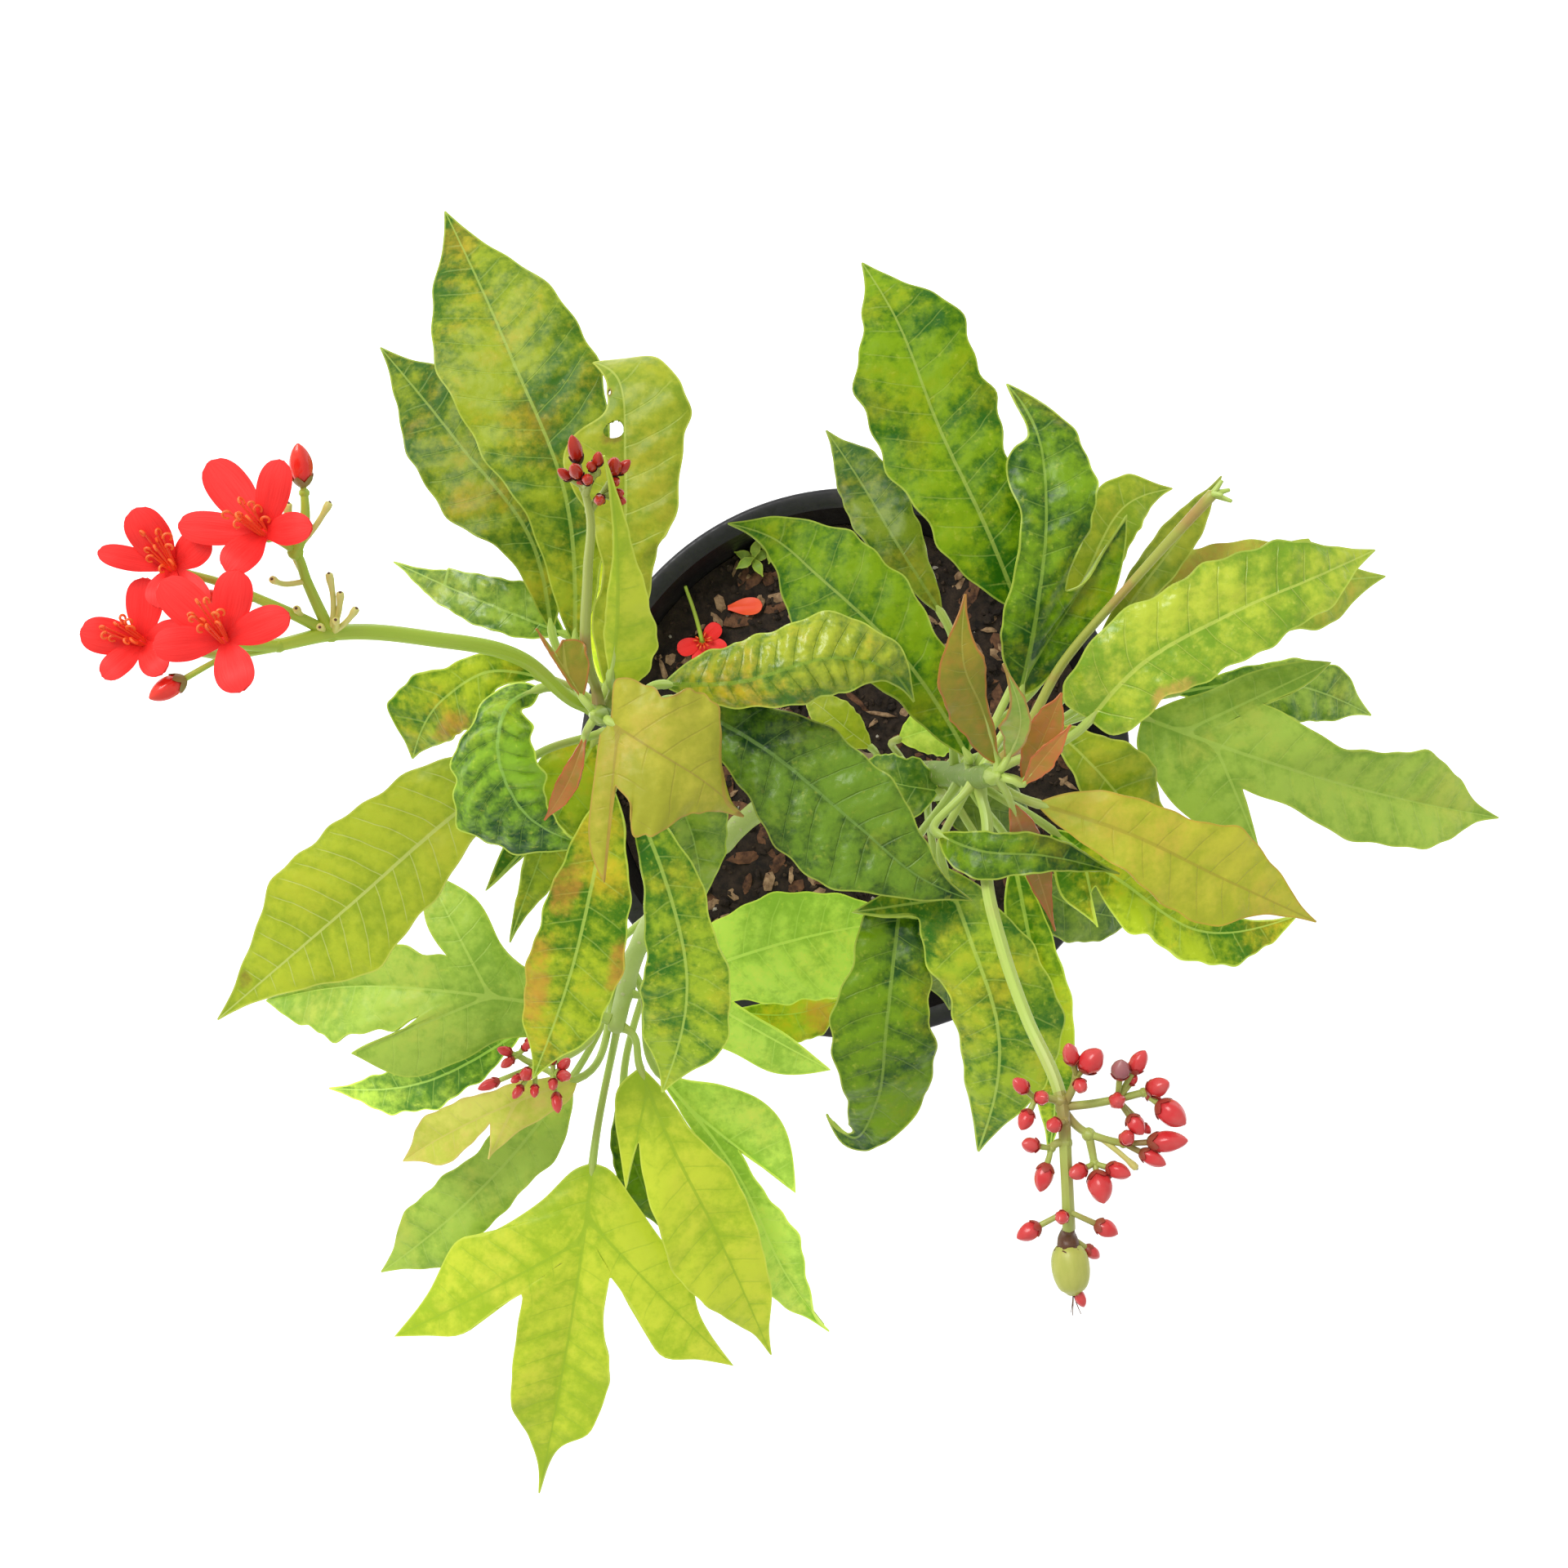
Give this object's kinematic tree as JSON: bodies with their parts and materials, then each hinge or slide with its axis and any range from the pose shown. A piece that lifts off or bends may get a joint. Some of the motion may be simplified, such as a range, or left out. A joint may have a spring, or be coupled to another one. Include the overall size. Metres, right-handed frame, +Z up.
{
  "type": "potted jatropha",
  "caption": "A bushy jatropha with lobed glossy leaves, red flowers and buds on thin stalks, growing from soil in a black plastic nursery pot",
  "frame": {"origin": "centre of the flat underside of the pot, where it stands on the floor", "axes": "+Z is up along the pot's axis; in the picture, taken from straight above, +X is to the right and +Y is to the top; the fork of the stems leans toward -X"},
  "size_m": [0.3714, 0.3755, 0.4945],
  "materials": {
    "pot_plastic": "black moulded plastic, satin",
    "soil": "dark damp potting soil with bark chips",
    "bark": "brown-green bark with leaf scars",
    "green_leaf": "glossy clear green with pale veins",
    "dark_leaf": "glossy dark green with pale veins",
    "lime_leaf": "glossy lime yellow with pale veins",
    "young_leaf": "glossy bronze green",
    "flower_stalk": "smooth yellow-green with brown collars",
    "bud": "satin crimson, on green stalks",
    "petal": "satin bright red with orange stamens"
  },
  "bodies": {
    "root": {"fallen_flower": "petal", "fallen_petal": "petal", "flower_1": "petal", "flower_2": "petal", "flower_3": "petal", "flower_4": "petal", "leaf_left_01": "green_leaf", "leaf_left_02": "green_leaf", "leaf_left_03": "green_leaf", "leaf_left_04": "green_leaf", "leaf_left_05": "dark_leaf", "leaf_left_06": "green_leaf", "leaf_left_07": "green_leaf", "leaf_left_08": "dark_leaf", "leaf_left_09": "lime_leaf", "leaf_left_11": "green_leaf", "leaf_left_12": "lime_leaf", "leaf_left_13": "green_leaf", "leaf_left_14": "green_leaf", "leaf_left_15": "dark_leaf", "leaf_left_16": "green_leaf", "leaf_left_17": "green_leaf", "leaf_low_01": "lime_leaf", "leaf_low_02": "lime_leaf", "leaf_low_03": "green_leaf", "leaf_low_04": "green_leaf", "leaf_low_05": "green_leaf", "leaf_low_06": "green_leaf", "leaf_low_07": "green_leaf", "leaf_low_08": "green_leaf", "leaf_right_00": "green_leaf", "leaf_right_01": "green_leaf", "leaf_right_02": "green_leaf", "leaf_right_03": "green_leaf", "leaf_right_04": "green_leaf", "leaf_right_05": "green_leaf", "leaf_right_06": "green_leaf", "leaf_right_07": "green_leaf", "leaf_right_08": "green_leaf", "leaf_right_09": "green_leaf", "leaf_right_10": "lime_leaf", "leaf_right_11": "green_leaf", "leaf_right_12": "green_leaf", "leaf_right_13": "green_leaf", "leaf_right_14": "green_leaf", "leaf_right_15": "green_leaf", "leaf_right_16": "green_leaf", "leaf_right_17": "dark_leaf", "leaf_right_18": "green_leaf", "leaf_trunk_01": "dark_leaf", "leaf_trunk_02": "dark_leaf", "left_shoot_tip": "young_leaf", "pot": "pot_plastic", "right_shoot_tip": "young_leaf", "soil": "soil", "spray_buds_left": "bud", "spray_buds_low": "bud", "spray_buds_right": "bud", "spray_flowers": "flower_stalk", "stems": "bark"}
  },
  "joints": []
}
